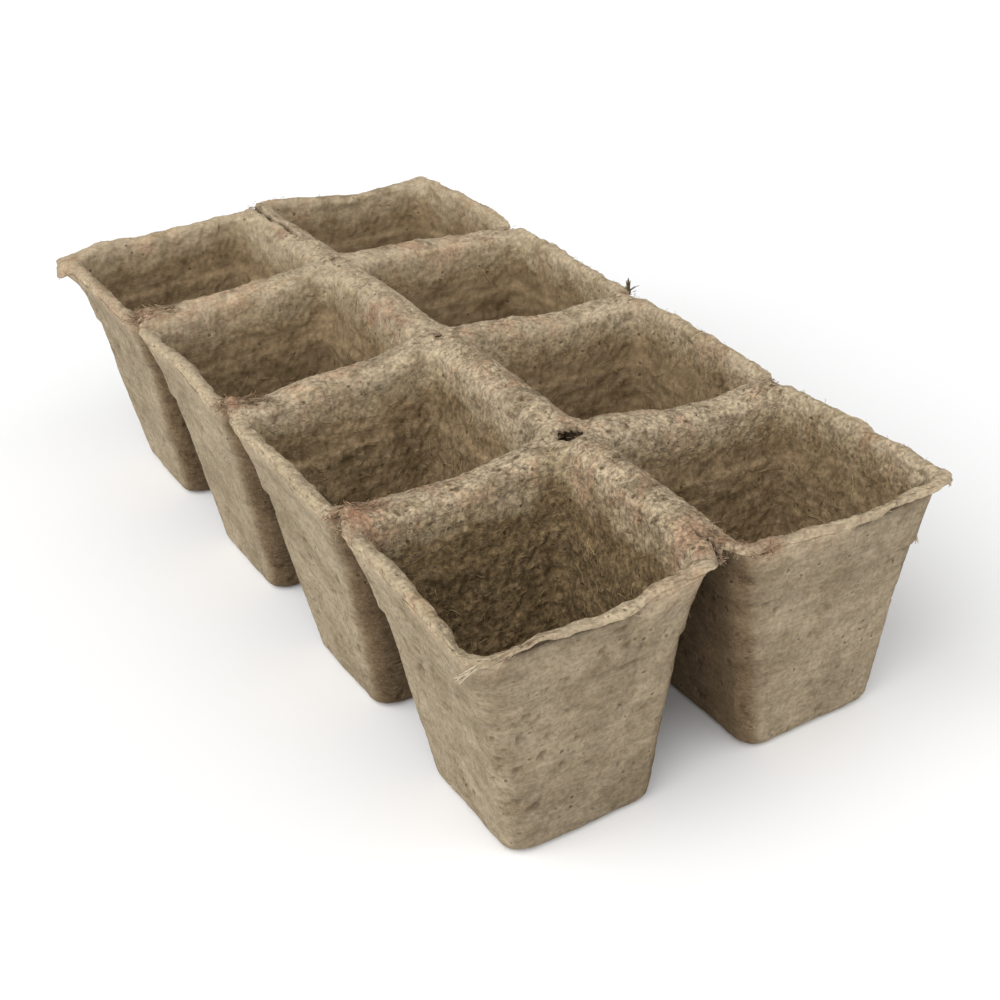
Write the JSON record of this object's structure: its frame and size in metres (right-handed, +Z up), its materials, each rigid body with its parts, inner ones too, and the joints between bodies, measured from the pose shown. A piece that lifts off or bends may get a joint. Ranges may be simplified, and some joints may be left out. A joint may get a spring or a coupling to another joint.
{
  "type": "peat pot tray",
  "caption": "Tray of square tapered plant pots moulded from peat and wood fibre, joined rim to rim by scored tear webs that flex, for raising seedlings.",
  "frame": {"origin": "under the middle of the tray, on the plane that the pots stand on", "axes": "+Z up, X across the two columns, +Y along the rows towards row 1"},
  "size_m": [0.155, 0.315, 0.082],
  "materials": {
    "pot_fibre": "rough matted fibre",
    "web_fibre": "torn matted fibre"
  },
  "bodies": {
    "cell_a1": {"pot_a1": "pot_fibre", "tear_web_a1_a2": "web_fibre", "tear_web_a1_b1": "web_fibre"},
    "cell_a2": {"pot_a2": "pot_fibre", "tear_web_a2_a3": "web_fibre", "tear_web_a2_b2": "web_fibre"},
    "cell_a3": {"pot_a3": "pot_fibre", "tear_web_a3_a4": "web_fibre", "tear_web_a3_b3": "web_fibre"},
    "cell_a4": {"pot_a4": "pot_fibre", "tear_web_a4_b4": "web_fibre"},
    "cell_b1": {"pot_b1": "pot_fibre", "tear_web_b1_b2": "web_fibre"},
    "cell_b2": {"pot_b2": "pot_fibre", "tear_web_b2_b3": "web_fibre"},
    "cell_b3": {"pot_b3": "pot_fibre", "tear_web_b3_b4": "web_fibre"},
    "cell_b4": {"pot_b4": "pot_fibre"}
  },
  "joints": [
    {"name": "cross_flex_1_2", "type": "hinge", "parent": "cell_a2", "child": "cell_a1", "pos_m": [0, 0.08, 0.0811], "axis": [-1, 0, 0], "range_deg": [-4, 4], "stiffness_Nm_per_rad": 1.2, "deforming": ["tear_web_a1_a2", "tear_web_b1_b2"]},
    {"name": "cross_flex_2_3", "type": "hinge", "parent": "cell_a2", "child": "cell_a3", "pos_m": [0, 0, 0.0811], "axis": [1, 0, 0], "range_deg": [-4, 4], "stiffness_Nm_per_rad": 1.2, "deforming": ["tear_web_a2_a3", "tear_web_b2_b3"]},
    {"name": "cross_flex_3_4", "type": "hinge", "parent": "cell_a3", "child": "cell_a4", "pos_m": [0, -0.08, 0.0811], "axis": [1, 0, 0], "range_deg": [-4, 4], "stiffness_Nm_per_rad": 1.2, "deforming": ["tear_web_a3_a4", "tear_web_b3_b4"]},
    {"name": "centre_fold_1", "type": "hinge", "parent": "cell_a1", "child": "cell_b1", "pos_m": [0, 0.12, 0.0811], "axis": [0, 1, 0], "range_deg": [-5, 10], "stiffness_Nm_per_rad": 0.6, "deforming": ["tear_web_a1_b1"]},
    {"name": "centre_fold_2", "type": "hinge", "parent": "cell_a2", "child": "cell_b2", "pos_m": [0, 0.04, 0.0811], "axis": [0, 1, 0], "range_deg": [-5, 10], "stiffness_Nm_per_rad": 0.6, "deforming": ["tear_web_a2_b2"]},
    {"name": "centre_fold_3", "type": "hinge", "parent": "cell_a3", "child": "cell_b3", "pos_m": [0, -0.04, 0.0811], "axis": [0, 1, 0], "range_deg": [-5, 10], "stiffness_Nm_per_rad": 0.6, "deforming": ["tear_web_a3_b3"]},
    {"name": "centre_fold_4", "type": "hinge", "parent": "cell_a4", "child": "cell_b4", "pos_m": [0, -0.12, 0.0811], "axis": [0, 1, 0], "range_deg": [-5, 10], "stiffness_Nm_per_rad": 0.6, "deforming": ["tear_web_a4_b4"]}
  ],
  "couplings": [
    {"joint": "centre_fold_1", "follows": "centre_fold_2", "ratio": 1},
    {"joint": "centre_fold_3", "follows": "centre_fold_2", "ratio": 1},
    {"joint": "centre_fold_4", "follows": "centre_fold_2", "ratio": 1}
  ]
}
